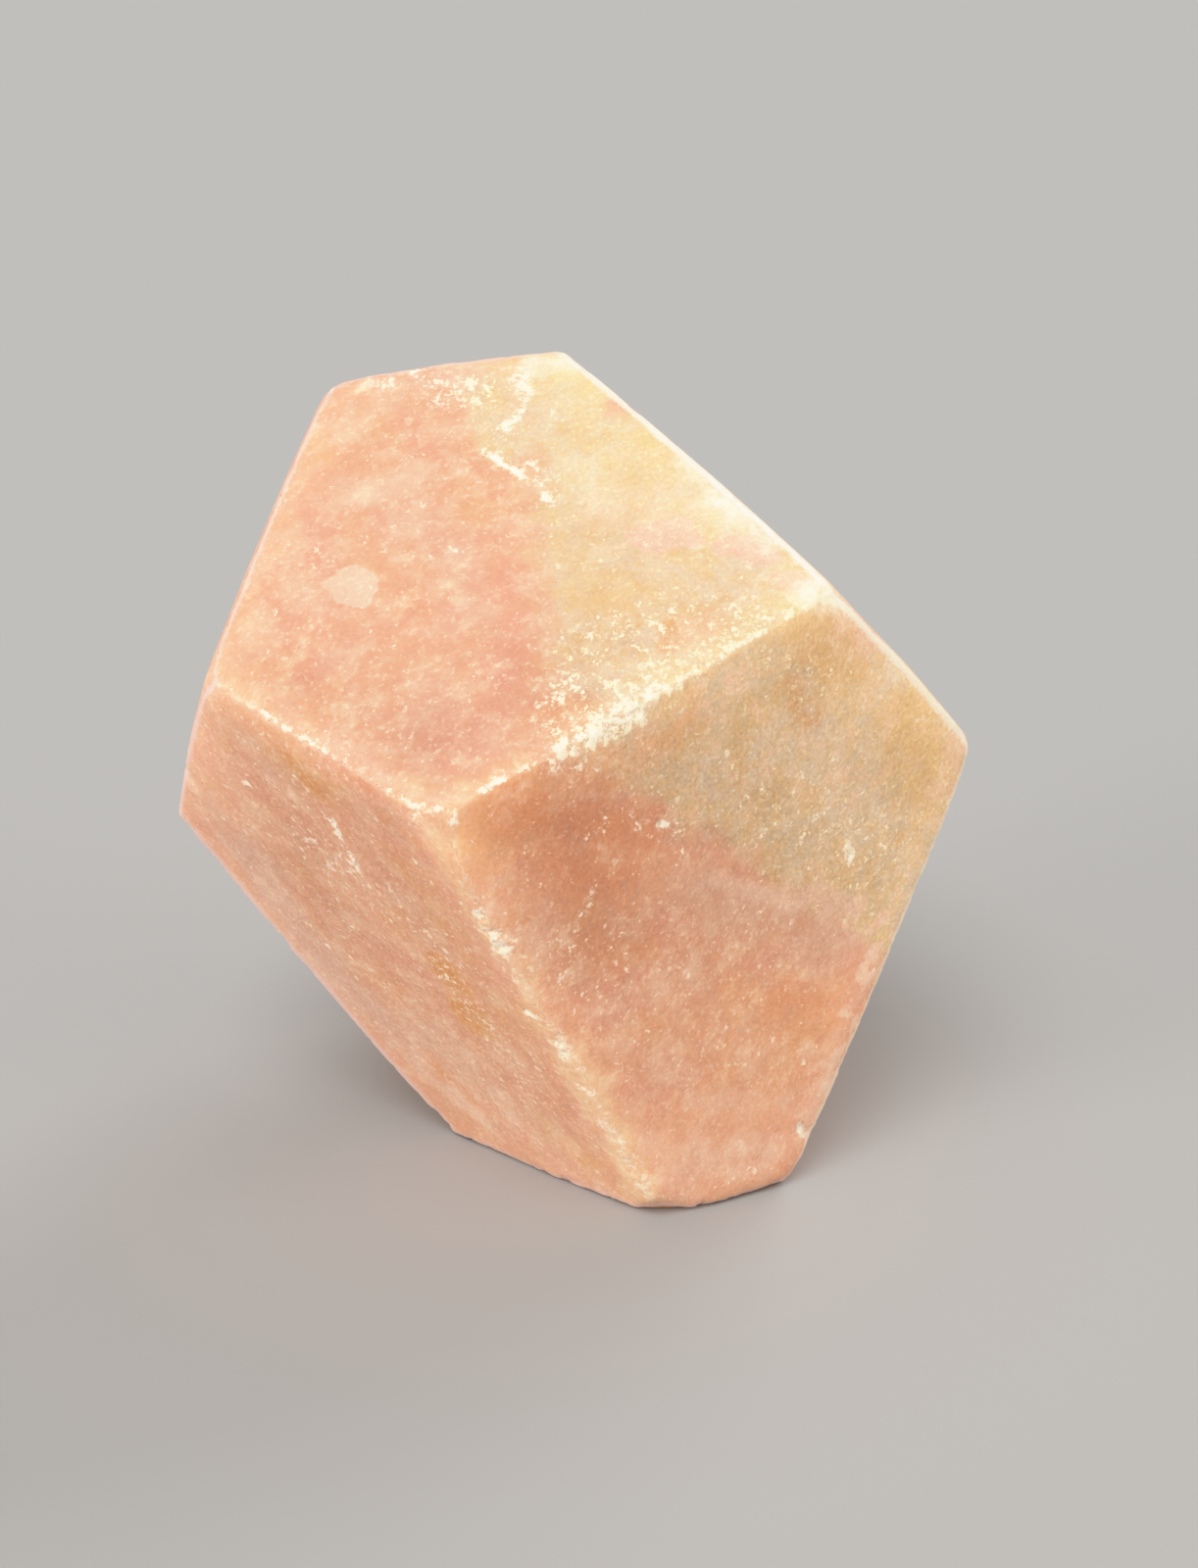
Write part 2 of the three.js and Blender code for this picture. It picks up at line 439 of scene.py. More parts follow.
class OpalColourSettings(bpy.types.PropertyGroup):
    """Colours of the rock, and of the light painted on it."""

    peach: colour_property("Peach", "Main colour of the pink rock", (0.755, 0.360, 0.214))
    rose: colour_property("Rose", "Pinker clouds and patches", (0.740, 0.322, 0.206))
    amber: colour_property("Amber", "Orange clouds in the pink rock", (0.765, 0.365, 0.178))
    # mist also carries the painted light near the foot, by way of the pale marks
    mist: colour_property("Mist", "Pale clouds, haze and blotches", (0.79, 0.480, 0.335))
    cream: colour_property("Cream", "Main colour of the cream rock", (0.735, 0.535, 0.36))
    ochre: colour_property("Ochre", "Yellower clouds in the cream rock", (0.76, 0.46, 0.205))
    olive: colour_property("Olive", "Duller clouds in the cream rock", (0.625, 0.43, 0.245))
    rust: colour_property("Rust", "Iron stain", (0.71, 0.29, 0.085))
    # greyer haze, and also a painted reflection low on the left face
    lilac: colour_property("Lilac", "Greyer haze in the pink rock", (0.68, 0.391, 0.289))
    blush: colour_property("Blush", "Pale pink patches in the cream rock", (0.815, 0.455, 0.325))
    ember: colour_property("Ember", "Deep orange rock", (0.748, 0.289, 0.14))
    # painted glow of thin rock along ridges
    glow: colour_property("Glow", "Lighter rock along ridges", (0.81, 0.49, 0.27))
    chalk: colour_property("Chalk", "Bleached rock", (0.90, 0.78, 0.64))
    # painted glow of thin edges
    painted_edge_glow: colour_property("Bloom", "Pink edges", (0.80, 0.55, 0.50))
    # worn ridges, also a painted highlight on rounded edges
    worn: colour_property("Worn", "Worn ridges", (0.88, 0.71, 0.55))
    # the grains are partly painted glints off the polish
    fleck: colour_property("Fleck", "Light grains in the pink rock", (0.95, 0.72, 0.54))
    speck: colour_property("Speck", "Light grains in the cream rock", (0.93, 0.78, 0.54))
    haze: colour_property("Haze", "Wisps of haze", (0.80, 0.59, 0.425))
    crushed: colour_property("Crushed", "Crushed stone and chips", (0.98, 0.86, 0.70))


class OpalStageSettings(bpy.types.PropertyGroup):
    """The floor, the lights and the camera."""

    floor: colour_property("Floor", "Colour of the floor", (0.39, 0.386, 0.382))
    distance: length_property("Distance", "From the camera to the stone", 0.195)
    elevation: bpy.props.FloatProperty(
        name="Elevation", description="Camera above the horizon", default=math.radians(20), subtype="ANGLE"
    )
    lens: bpy.props.FloatProperty(name="Lens", description="Focal length", default=54.0, unit="CAMERA")


# ---- Surface of the stone ----


def flat_facets(mesh):
    """Normals and distances from the origin (mm) of the flat facets of a mesh."""
    planes = []
    for face in sorted(mesh.polygons, key=lambda item: -item.area):
        match = next((plane for plane in planes if plane[0].dot(face.normal) > SAME_PLANE), None)
        if match is None:
            planes.append([face.normal.copy(), face.center.dot(face.normal) / MM, face.area / MM**2])
        else:
            match[2] += face.area / MM**2
    kept = [plane for plane in planes if plane[2] > LEAST_FACET_AREA]
    return np.array([plane[0] for plane in kept]), np.array([plane[1] for plane in kept])


def smooth_step(low, high, value):
    part = np.clip((value - low) / (high - low), 0.0, 1.0)
    return part * part * (3.0 - 2.0 * part)


def rows_of(items, name):
    """A vector of each item, one row each."""
    flat = np.empty(len(items) * 3)
    items.foreach_get(name, flat)
    return flat.reshape(-1, 3)


def coordinates(mesh):
    """Vertex positions in mm."""
    return rows_of(mesh.vertices, "co") / MM


def set_coordinates(mesh, points):
    mesh.vertices.foreach_set("co", (points * MM).ravel())
    mesh.update()


def noise_at(points, size, seed, octaves=1):
    """Smooth noise, about -1 to 1, with lumps of one size in mm."""
    shift = Vector([seed * step for step in NOISE_SHIFT])
    places = [Vector(point) / size + shift for point in points]
    if octaves == 1:
        return np.array([noise.noise(place) for place in places])
    return np.array([noise.fractal(place, *NOISE_OCTAVES, octaves) for place in places])


def wobbled(points, size, reach, seed):
    """Points pushed about by noise, so that what is measured from them comes out ragged."""
    pushes = [noise_at(points, size, seed + channel) for channel in range(3)]
    return points + reach * np.array(pushes).T


class Surface:
    """The facets of the stone and what each point of its skin is near to."""

    def __init__(self, mesh):
        self.normals, self.reaches = flat_facets(mesh)
        self.tree = BVHTree.FromPolygons(
            [vertex.co / MM for vertex in mesh.vertices], [face.vertices[:] for face in mesh.polygons]
        )
        turn = np.clip(self.normals @ self.normals.T, -1.0, 1.0)
        self.sines = np.sqrt(np.maximum(1.0 - turn * turn, TINY))

    def seat(self, points):
        """Moves points onto the skin."""
        return np.array([self.tree.find_nearest(Vector(point))[0] for point in points])

    def below(self, points):
        """How far each point lies under the plane of each facet."""
        return self.reaches - points @ self.normals.T

    def facet_of(self, points):
        return np.argmin(self.below(points), axis=1)

    def to_ridge(self, points):
        """Distance from each point to the nearest ridge, and to the nearest corner, roughly."""
        own = self.facet_of(points)
        away = self.below(points) / self.sines[own]
        away[np.arange(len(points)), own] = 0.0
        away.sort(axis=1)
        return away[:, 1], away[:, 2]

    def facing(self, name):
        """Number of the facet with a name."""
        return int(np.argmax(self.normals @ np.array(bearing_and_tilt(*FACETS[name]))))

    def band(self, below, first, second, half, most):
        """Strength on one facet of a band along its ridge with another; none two halves away."""
        gap = (below[:, second] - below[:, first]) / self.sines[first, second]
        return most * (1.0 - smooth_step(0.0, 2.0 * half, gap))

    def ridge_bands(self, points, table, other):
        """Strength of the bands along the ridges at each point."""
        bands = {}
        for (first, second), (first_half, second_half, most) in table.items():
            first, second = self.facing(first), self.facing(second)
            bands[first, second] = (first_half, most)
            bands[second, first] = (second_half, most)
        below = self.below(points)
        own = self.facet_of(points)
        strength = np.zeros(len(points))
        for first, second in itertools.permutations(range(len(self.normals)), 2):
            on_first = own == first
            band = self.band(below[on_first], first, second, *bands.get((first, second), other[1:]))
            strength[on_first] = np.maximum(strength[on_first], band)
        return strength

    def ridge_ends(self, first, second):
        """Both ends of the ridge between two facets, the left end first, or None if they don't meet."""
        pair = [first, second]
        along = np.cross(*self.normals[pair])
        along /= np.linalg.norm(along) * (1.0 if along[0] >= 0.0 else -1.0)
        middle = np.linalg.lstsq(self.normals[pair], self.reaches[pair], rcond=None)[0]
        others = [number for number in range(len(self.normals)) if number not in pair]
        slopes = self.normals[others] @ along
        steps = (self.reaches[others] - self.normals[others] @ middle) / slopes
        start, end = steps[slopes < 0.0].max(), steps[slopes > 0.0].min()
        if start >= end:
            return None
        return middle + start * along, middle + end * along

    def crushed(self, points, rows):
        """Density of the crushed stone along ridges at each point; rows hold numbers of facets."""
        below = self.below(points)
        own = self.facet_of(points)
        density = np.zeros(len(points))
        for first, second, start, end, half, most in rows:
            left, right = self.ridge_ends(first, second)
            along = right - left
            part = (points - left) @ along / (along @ along)
            soft = SPAN_SOFT / np.linalg.norm(along)
            inside = smooth_step(start - soft, start + soft, part)
            inside *= 1.0 - smooth_step(end - soft, end + soft, part)
            band = self.band(below, first, second, half, most) * inside
            density = np.maximum(density, np.where(own == first, band, 0.0))
        return density

    def fill(self, points):
        """How far each point is lifted towards the planes of its facets, in mm, to make ridges crisp."""
        below = self.below(points)
        nearest = np.sort(np.argsort(below, axis=1)[:, :2], axis=1)
        share = np.zeros(len(points))
        for names, own_share in CRISP_RIDGES.items():
            ridge = sorted(self.facing(name) for name in names)
            share[(nearest == ridge).all(axis=1)] = own_share
        away_from_corners = smooth_step(*CRISP_CORNER, self.to_ridge(points)[1])
        return share * below.min(axis=1) * away_from_corners

    def front(self, right, up):
        """Point of the skin that is seen from the front at a place."""
        hit = self.tree.ray_cast(Vector((right, -FAR, up)), Vector((0.0, 1.0, 0.0)))[0]
        if hit is None:
            raise RuntimeError(f"the mark at {right}, {up} mm misses the stone")
        return np.array(hit)


def hidden_facets(surface):
    """Numbers of the facets that carry no marks of their own."""
    listed = [surface.facing(name) for name in LAPPING]
    return [number for number in range(len(surface.normals)) if number not in listed]


def stretches_of(surface):
    """Crushed stretches along every ridge: the listed ones, then drawn ones between hidden facets."""
    rows = []
    for names, stretches in CRUSHED_RIDGES.items():
        rows += [(*map(surface.facing, names), *stretch) for stretch in stretches]
    draw = random.Random(SEED)
    numbers, starts, lengths, widths, densities = SCATTERED_STRETCHES
    hidden = hidden_facets(surface)
    for pair in itertools.permutations(hidden, 2):
        if surface.ridge_ends(*sorted(pair)) is None:
            continue
        for _ in range(draw.randint(*numbers)):
            start = draw.uniform(*starts)
            end = start + draw.uniform(*lengths)
            rows.append((*pair, start, end, draw.uniform(*widths), draw.uniform(*densities)))
    return rows


def scattered(surface, seed, number, lengths, widths, strengths):
    """Marks at random places on the hidden facets, written like the others."""
    draw = random.Random(seed)
    hidden = hidden_facets(surface)
    middle = Vector((0.0, 0.0, HEART))
    marks = []
    while len(marks) < number:
        way = Vector([draw.gauss(0.0, 1.0) for _ in range(3)]).normalized()
        turn = Vector([draw.gauss(0.0, 1.0) for _ in range(3)]).normalized()
        spot = np.array(surface.tree.ray_cast(middle + way * FAR, -way)[0])
        if surface.facet_of(spot[None])[0] not in hidden:
            continue
        end = surface.seat([spot + np.array(turn) * draw.uniform(*lengths)])[0]
        marks.append(([spot, end], draw.uniform(*widths), draw.uniform(*strengths)))
    return marks


def distance_to_path(points, path):
    """Distance from each point to a path of straight pieces."""
    least = np.full(len(points), np.inf)
    for start, end in zip(path[:-1], path[1:]):
        along = end - start
        part = np.clip((points - start) @ along / max(along @ along, TINY), 0.0, 1.0)
        gap = np.linalg.norm(points - start - part[:, None] * along, axis=1)
        least = np.minimum(least, gap)
    return least


def mark_field(points, marks):
    """Strength of a set of marks at each point: full along each path, none two half widths away."""
    field = np.zeros(len(points))
    for path, half_width, strength in marks:
        gap = distance_to_path(points, path)
        field = np.maximum(field, strength * (1.0 - smooth_step(0.0, 2.0 * half_width, gap)))
    return field


def shade_field(points, marks):
    """How much lighter or darker the colour is at each point, from the rock's own tone and from painted
    light and shade: soft spots that add up.
    """
    field = np.zeros(len(points))
    for path, half_width, change in marks:
        gap = distance_to_path(points, path)
        field += change * np.exp(-SHADE_FALL * (gap / half_width) ** 2)
    return field


def on_front(surface, marks):
    """Listed marks with their paths on the skin."""
    return [([surface.front(*spot) for spot in path], half, most) for *path, half, most in marks]


# ---- Building the stone ----


def remeshed(source, cell):
    """An even mesh over a solid."""
    worker = bpy.data.objects.new("remesh", source.data.copy())
    bpy.context.collection.objects.link(worker)
    modifier = worker.modifiers.new("Remesh", "REMESH")
    modifier.mode = "VOXEL"
    modifier.voxel_size = cell
    modifier.adaptivity = 0.0
    evaluated = worker.evaluated_get(bpy.context.evaluated_depsgraph_get())
    mesh = bpy.data.meshes.new_from_object(evaluated)
    bpy.data.objects.remove(worker)
    return mesh


def refine(mesh, wanted):
    """Halves the cells around the wanted vertices."""
    work = bmesh.new()
    work.from_mesh(mesh)
    work.verts.ensure_lookup_table()
    edges = [edge for edge in work.edges if wanted[edge.verts[0].index] and wanted[edge.verts[1].index]]
    bmesh.ops.subdivide_edges(work, edges=edges, cuts=1, use_grid_fill=True)
    work.to_mesh(mesh)
    work.free()


def add_attribute(mesh, name, values, kind="FLOAT"):
    attribute = mesh.attributes.new(name, kind, "POINT")
    attribute.data.foreach_set("vector" if kind == "FLOAT_VECTOR" else "value", values.ravel())


def lapping_of(surface):
    """How each facet was lapped: direction of the scratches, the longer the more drawn out grains
    are, and how thickly they lie."""
    listed = {surface.facing(name): lapping for name, lapping in LAPPING.items()}
    directions, amounts = [], []
    for number, normal in enumerate(surface.normals):
        facing = Vector(normal)
        slope, stretch, amount = listed.get(number, OTHER_LAPPING)
        level = Vector((0, 0, 1)).cross(facing)
        if level.length < LEVEL_FACET:
            level = Vector((1, 0, 0))
        level.normalize()
        squeeze = math.sqrt(1.0 - 1.0 / stretch)
        directions.append(Matrix.Rotation(math.radians(slope), 3, facing) @ level * squeeze)
        amounts.append(amount)
    return np.array(directions), np.array(amounts)


def laid_over(source, surface, cell, crushed):
    """An even mesh seated on the solid, finer on ridges and finest in crushed stone."""
    mesh = remeshed(source, cell)
    set_coordinates(mesh, surface.seat(coordinates(mesh)))
    points = coordinates(mesh)
    refine(mesh, (surface.to_ridge(points)[0] < REFINE_BAND) | (crushed(points) > REFINE_CRUSH[0]))
    set_coordinates(mesh, surface.seat(coordinates(mesh)))
    refine(mesh, crushed(coordinates(mesh)) > REFINE_CRUSH[1])
    set_coordinates(mesh, surface.seat(coordinates(mesh)))
    return mesh


def lift_of(surface, shape, points, crush):
    """How far bow, waves, wear and pits move each point of the skin outwards, in mm."""
    ridge, corner = surface.to_ridge(points)
    lift = shape.bow / MM * smooth_step(*BOW_CORNER, corner)
    lift += surface.fill(points)
    lift += shape.wave / MM * noise_at(points, *WAVE_NOISE)
    near_ridge = 1.0 - smooth_step(*WEAR_RIDGE, ridge)
    nibbles = np.maximum(noise_at(points, *WEAR_NOISE), 0.0)
    lift -= shape.wear / MM * near_ridge * nibbles
    foot = near_ridge * (1.0 - smooth_step(*FOOT_HEIGHT, points[:, 2]))
    chips = np.maximum(noise_at(points, *FOOT_NOISE) - FOOT_SPARED, 0.0)
    lift -= shape.foot_wear / MM * foot * chips
    lift -= shape.nick / MM * mark_field(points, on_front(surface, NICKS))
    pits = np.maximum(noise_at(points, *CRUMBLE_NOISE) + CRUMBLE_EXTRA, 0.0)
    lift -= shape.crumble / MM * smooth_step(*CRUMBLE_DENSITY, crush) * pits
    return lift


def add_masks(mesh, surface, points, crush):
    """What the finish needs to know at each vertex; the points are the vertices before wear."""
    cream_push = CREAM_PUSH * mark_field(points, on_front(surface, CREAM_EXTRA))
    directions, amounts = lapping_of(surface)
    own = surface.facet_of(points)
    add_attribute(mesh, "lapping", directions[own], "FLOAT_VECTOR")
    add_attribute(mesh, "grain", amounts[own])
    add_attribute(mesh, "ridge", surface.to_ridge(points)[0])
    add_attribute(mesh, "cream", points @ np.array(CREAM_FACING) - CREAM_START + cream_push)
    # worn bands along ridges, partly a painted highlight
    add_attribute(mesh, "wear", surface.ridge_bands(points, RIDGE_WEAR_AND_SHEEN, OTHER_RIDGE_WEAR_AND_SHEEN))
    # painted glow along thin edges
    add_attribute(mesh, "painted_edge_glow", surface.ridge_bands(points, RIDGE_PAINTED_EDGE_GLOW, OTHER_RIDGE_PAINTED_EDGE_GLOW))
    add_attribute(mesh, "crush", crush)
    ragged = wobbled(points, *TINT_RAGGED)
    for number, (name, marks) in enumerate(TINTS.items()):
        places = on_front(surface, marks)
        if name in SCATTERED_TINTS:
            places += scattered(surface, SEED + 3 + number, *SCATTERED_TINTS[name])
        add_attribute(mesh, name, mark_field(ragged, places))
    add_attribute(mesh, "shade", shade_field(points, on_front(surface, TONE_AND_PAINTED_LIGHT)))


def stone_mesh(source, shape):
    """The worn surface of the stone, with the masks for its finish."""
    surface = Surface(source.data)
    spots = on_front(surface, CRUSHED_SPOTS)
    spots += scattered(surface, SEED + 1, *SCATTERED_CRUSHED)
    spots += scattered(surface, SEED + 2, *SCATTERED_FLECKS)
    stretches = stretches_of(surface)

    def crushed(points):
        ragged = wobbled(points, *SPOT_RAGGED)
        return np.maximum(surface.crushed(points, stretches), mark_field(ragged, spots))

    mesh = laid_over(source, surface, shape.cell, crushed)
    points = coordinates(mesh)
    normals = rows_of(mesh.vertex_normals, "vector")
    crush = crushed(points)
    worn = points + normals * lift_of(surface, shape, points, crush)[:, None]
    worn[:, 2] = np.maximum(worn[:, 2], 0.0)
    set_coordinates(mesh, worn)
    add_masks(mesh, surface, points, crush)
    mesh.shade_smooth()
    return mesh


# ---- Finish: node work ----

FLOAT, VECTOR = "NodeSocketFloat", "NodeSocketVector"
LEVEL_POWERS = (1.0, 1.25, 1.3)  # how strongly red, green and blue follow the level of a texture
# Detail and roughness of the noise in clouds, in crumbs and where shapes are shaken.
CLOUD_NOISE, CRUMB_NOISE, SHAKE_NOISE = (3.0, 0.6), (3.0, 0.65), (1.0, 0.5)
CLOUD_START = (0.7, 0.3)  # level of noise where clouds start, for a cover of 0 and of 1
CRUMB_START = (0.61, 0.46)  # the same for crumbs
CRUMB_SOFT = 0.13  # how softly crumbs fade in
FLECK_RADIUS = (0.4, 1.2)  # the least and the greatest, as shares of the usual one
FLECK_CORE = 0.45  # share of a fleck's radius inside which it is full
FLECK_LIGHT = (0.3, 1.0)  # the dullest and the brightest


class Wiring:
    """Adds nodes to one tree. Any input may be a plain value or another node's output."""

    def __init__(self, tree):
        self.tree = tree

    def put(self, socket, value):
        if isinstance(value, bpy.types.NodeSocket):
            self.tree.links.new(value, socket)
        else:
            socket.default_value = value

    def add(self, kind, inputs, **settings):
        node = self.tree.nodes.new(kind)
        for name, value in settings.items():
            setattr(node, name, value)
        for name, value in inputs.items():
            self.put(node.inputs[name], value)
        return node

    def calculate(self, operation, *values):
        return self.add("ShaderNodeMath", dict(enumerate(values)), operation=operation).outputs["Value"]

    def sum(self, first, second):
        return self.calculate("ADD", first, second)

    def times(self, first, second):
        return self.calculate("MULTIPLY", first, second)

    def times_plus(self, value, factor, extra):
        return self.calculate("MULTIPLY_ADD", value, factor, extra)

    def between(self, part, low, high):
        """Goes from low to high as a part goes from 0 to 1."""
        return self.times_plus(part, high - low, low)

    def centred(self, value, span):
        """Turns a value about one half into one about zero with a span of its own."""
        return self.between(value, -span / 2, span / 2)

    def dot(self, first, second):
        node = self.add("ShaderNodeVectorMath", {0: first, 1: second}, operation="DOT_PRODUCT")
        return node.outputs["Value"]

    def scaled(self, vector, factor):
        node = self.add("ShaderNodeVectorMath", {0: vector, "Scale": factor}, operation="SCALE")
        return node.outputs["Vector"]

    def plus(self, first, second):
        return self.add("ShaderNodeVectorMath", {0: first, 1: second}, operation="ADD").outputs["Vector"]

    def fade(self, value, low, high):
        """0 up to low, 1 from high on and smooth between; low may be the larger of the two."""
        inputs = {"Value": value, "From Min": low, "From Max": high}
        return self.add("ShaderNodeMapRange", inputs, interpolation_type="SMOOTHSTEP").outputs["Result"]

    def blend(self, part, first, second, mode="MIX"):
        """A mix of two colours. Its sockets go by number, because other kinds share their names."""
        inputs = {0: part, 6: first, 7: second}
        return self.add("ShaderNodeMix", inputs, data_type="RGBA", blend_type=mode).outputs[2]

    def deepened(self, colour, level):
        """A colour made lighter above a level of 1, or darker below it."""
        levels = [self.calculate("POWER", level, power) for power in LEVEL_POWERS]
        factors = self.add("ShaderNodeCombineXYZ", dict(enumerate(levels))).outputs["Vector"]
        return self.blend(1.0, colour, factors, "MULTIPLY")

    def attribute(self, name, output="Fac"):
        return self.add("ShaderNodeAttribute", {}, attribute_name=name).outputs[output]

    def noise(self, position, size, detail, roughness, output="Fac"):
        """Noise about one half, with lumps of one size in mm."""
        scale = self.calculate("DIVIDE", 1.0, size)
        inputs = {"Vector": position, "Scale": scale, "Detail": detail, "Roughness": roughness}
        return self.add("ShaderNodeTexNoise", inputs).outputs[output]

    def cells(self, position, size):
        """What a Voronoi node gives out, with cells of one size in mm."""
        scale = self.calculate("DIVIDE", 1.0, size)
        return self.add("ShaderNodeTexVoronoi", {"Vector": position, "Scale": scale}).outputs

    def place(self, group, **values):
        """A group's mask, with its inputs set."""
        return self.add("ShaderNodeGroup", values, node_tree=group).outputs["Mask"]


def new_group(name, **inputs):
    """An empty group that takes a position and numbers and gives out one mask."""
    group = bpy.data.node_groups.new(name, "ShaderNodeTree")
    group.interface.new_socket("Position", in_out="INPUT", socket_type=VECTOR)
    for label, default in inputs.items():
        group.interface.new_socket(label, in_out="INPUT", socket_type=FLOAT).default_value = default
    group.interface.new_socket("Mask", in_out="OUTPUT", socket_type=FLOAT)
    given = group.nodes.new("NodeGroupInput").outputs
    result = group.nodes.new("NodeGroupOutput").inputs["Mask"]
    return group, Wiring(group), given, result


def cloud_group():
    """Clouds in the rock: lumps of one size (mm), how much they cover and how soft their edges are."""
    group, wire, given, result = new_group("opal clouds", Size=5.0, Cover=0.5, Softness=0.12)
    lumps = wire.noise(given["Position"], given["Size"], *CLOUD_NOISE)
    middle = wire.between(given["Cover"], *CLOUD_START)
    low = wire.calculate("SUBTRACT", middle, given["Softness"])
    wire.put(result, wire.fade(lumps, low, wire.sum(middle, given["Softness"])))
    return group


def fleck_group():
    """Light grains, partly painted glints off the polish: their spacing and radius (mm) and the share of
    them that show.
    """
    group, wire, given, result = new_group("opal flecks", Spacing=1.0, Radius=0.2, Share=0.5)
    cells = wire.cells(given["Position"], given["Spacing"])
    draws = wire.add("ShaderNodeSeparateColor", {"Color": cells["Color"]}).outputs
    shown = wire.calculate("LESS_THAN", draws["Red"], given["Share"])
    reach = wire.times(wire.between(draws["Green"], *FLECK_RADIUS), given["Radius"])
    reach = wire.calculate("DIVIDE", reach, given["Spacing"])
    grain = wire.fade(cells["Distance"], reach, wire.times(reach, FLECK_CORE))
    brightness = wire.between(draws["Blue"], *FLECK_LIGHT)
    wire.put(result, wire.times(wire.times(grain, shown), brightness))
    return group


def crumb_group():
    """Soft pale crumbs of one size (mm) that cover more of the rock as their amount grows to 1."""
    group, wire, given, result = new_group("opal crumbs", Size=0.4, Amount=0.3)
    lumps = wire.noise(given["Position"], given["Size"], *CRUMB_NOISE)
    low = wire.between(given["Amount"], *CRUMB_START)
    wire.put(result, wire.fade(lumps, low, wire.sum(low, CRUMB_SOFT)))
    return group


# ---- Finish: the opal ----

# Textures of the rock: size of the lumps in mm, detail and roughness.
WISPS = (2.6, 4.0, 0.62)
MOTTLE = (1.2, 2.0, 0.6)
GRIT = (0.28, 3.0, 0.75)
HAZE = (1.6, 5.0, 0.68)
BORDER = (5.0, 5.0, 0.68)
CRUSHED_BITS = (0.8, 4.0, 0.7)
CRUMBLY = (0.5, 2.0, 0.6)
# How much each texture changes the colour, from its darkest to its lightest.
WISP_SHADE, MOTTLE_SHADE, GRIT_SHADE = 0.25, 0.2, 0.42
CREAM_GRIT = 0.4  # how much more the finest grain shows in cream rock
PAINTED_RIDGE_GLOW = 0.12  # painted glow: how much lighter the colour is made near thin edges than deep in the rock, for light that shines through
PAINTED_RIDGE_GLOW_REACH = 5.0  # mm from a ridge to where the painted glow has faded out
# Clouds in each rock: colour, size of the lumps in mm, how much they cover, softness, strength.
PINK_CLOUDS = (
    ("rose", 7.0, 0.45, 0.10, 0.6),
    ("amber", 5.5, 0.28, 0.10, 0.6),
    ("mist", 4.0, 0.35, 0.10, 0.35),
)
CREAM_CLOUDS = (
    ("ochre", 5.0, 0.42, 0.10, 0.6),
    ("olive", 7.0, 0.40, 0.12, 0.55),
    ("ochre", 1.1, 0.43, 0.10, 0.58),
)
# Marks that are laid over both rocks: attribute, strength and how soft their edge is.
PATCHES = (
    ("lilac", 0.8, 0.45),
    ("rose", 0.9, 0.45),
    ("amber", 0.9, 0.45),
    ("ochre", 0.9, 0.45),
    ("rust", 0.95, 0.35),
    ("pale", 0.8, 0.45),
    ("blush", 0.95, 0.15),
    ("ember", 0.9, 0.45),
    ("glow", 0.85, 0.45),
    ("chalk", 0.85, 0.45),
    ("blotch", 1.0, 0.06),
)
PATCH_COLOURS = {"pale": "mist", "blotch": "mist"}  # the others have a colour of their own name
PATCH_EDGE = 0.45  # strength of a mark at the middle of its edge
PATCH_RAGGED, PATCH_FINE = 0.9, 0.7  # how far wisps and mottling push that edge
# Bands along ridges, worn and partly a painted highlight, and the painted glow on thin edges: how far
# wisps and grit push their edges, where they fade in, and their strength.
WEAR_AND_SHEEN_WISPS, WEAR_AND_SHEEN_GRIT, WEAR_AND_SHEEN_FADE, WEAR_AND_SHEEN_STRENGTH = 0.6, 1.0, (0.15, 0.75), 0.85
EDGE_GLOW_GRIT, EDGE_GLOW_FADE, EDGE_GLOW_STRENGTH = 0.6, (0.1, 0.7), 0.8
# Dense patches, where haze, crumbs and grains are thick: what wisps and crushed stone add, what ember
# takes away, and where they fade in.
DENSE_WISPS, DENSE_START = 3.0, -1.0
DENSE_CRUSH, DENSE_EMBER = 1.2, 1.2
DENSE_FADE = (-0.2, 1.0)
HAZE_SHIFT = (5.0, 21.0, 9.0)  # mm, so that haze doesn't follow the other textures
HAZE_DENSE, HAZE_FADE, HAZE_STRENGTH = 0.06, (0.5, 0.68), 0.20
CRUMB_SIZE, CRUMB_STRENGTH = 0.42, 0.30
CRUMB_AMOUNT = (0.1, 0.6)  # in clear rock and in dense patches
# Light grains, partly painted glints off the polish: spacing and radius in mm, share that show, strength.
GRAINS = (
    (0.65, 0.16, 0.60, 0.60),
    (1.00, 0.22, 0.50, 0.85),
    (1.90, 0.28, 0.60, 0.90),
)
GRAINS_LEAST = 0.35  # the share of their strength that grains keep in clear rock
GRAIN_RAGGED = (0.3, 0.6)  # mm, size of the noise that makes grains ragged and how far it goes
# Crushed stone: how far its bits and grit break it up, where it fades in, and its strength.
BITS_RAGGED, GRIT_RAGGED, CRUSHED_FADE, CRUSHED_STRENGTH = 3.0, 1.5, (0.42, 0.72), 0.9
POWDER_FADE = (0.3, 1.0)  # densities between which it turns from light rock to white
HALO_FADE, HALO_STRENGTH = (0.1, 1.0), 0.12  # the paler rock around it
# The surface: roughness of the polish, how much more crushed stone has, and the fine relief.
ROUGHNESS = (0.30, 0.46)
CRUSHED_ROUGHER = 0.35
CRUMBLY_RELIEF = 6.0  # how much higher crumbly stone stands than grit
BUMP_STRENGTH, BUMP_DEPTH = 0.4, 0.05 * MM
SKIN = {
    "Subsurface Weight": 0.3,
    "Subsurface Radius": (1.0, 0.5, 0.3),
    "Subsurface Scale": 1.4 * MM,
    "IOR": 1.45,
}


def lapped_position(wire, position):
    """The position, squeezed along the scratches so that what is drawn there comes out long."""
    lapping = wire.attribute("lapping", "Vector")
    along = wire.times(wire.dot(position, lapping), -1.0)
    return wire.plus(position, wire.scaled(lapping, along))


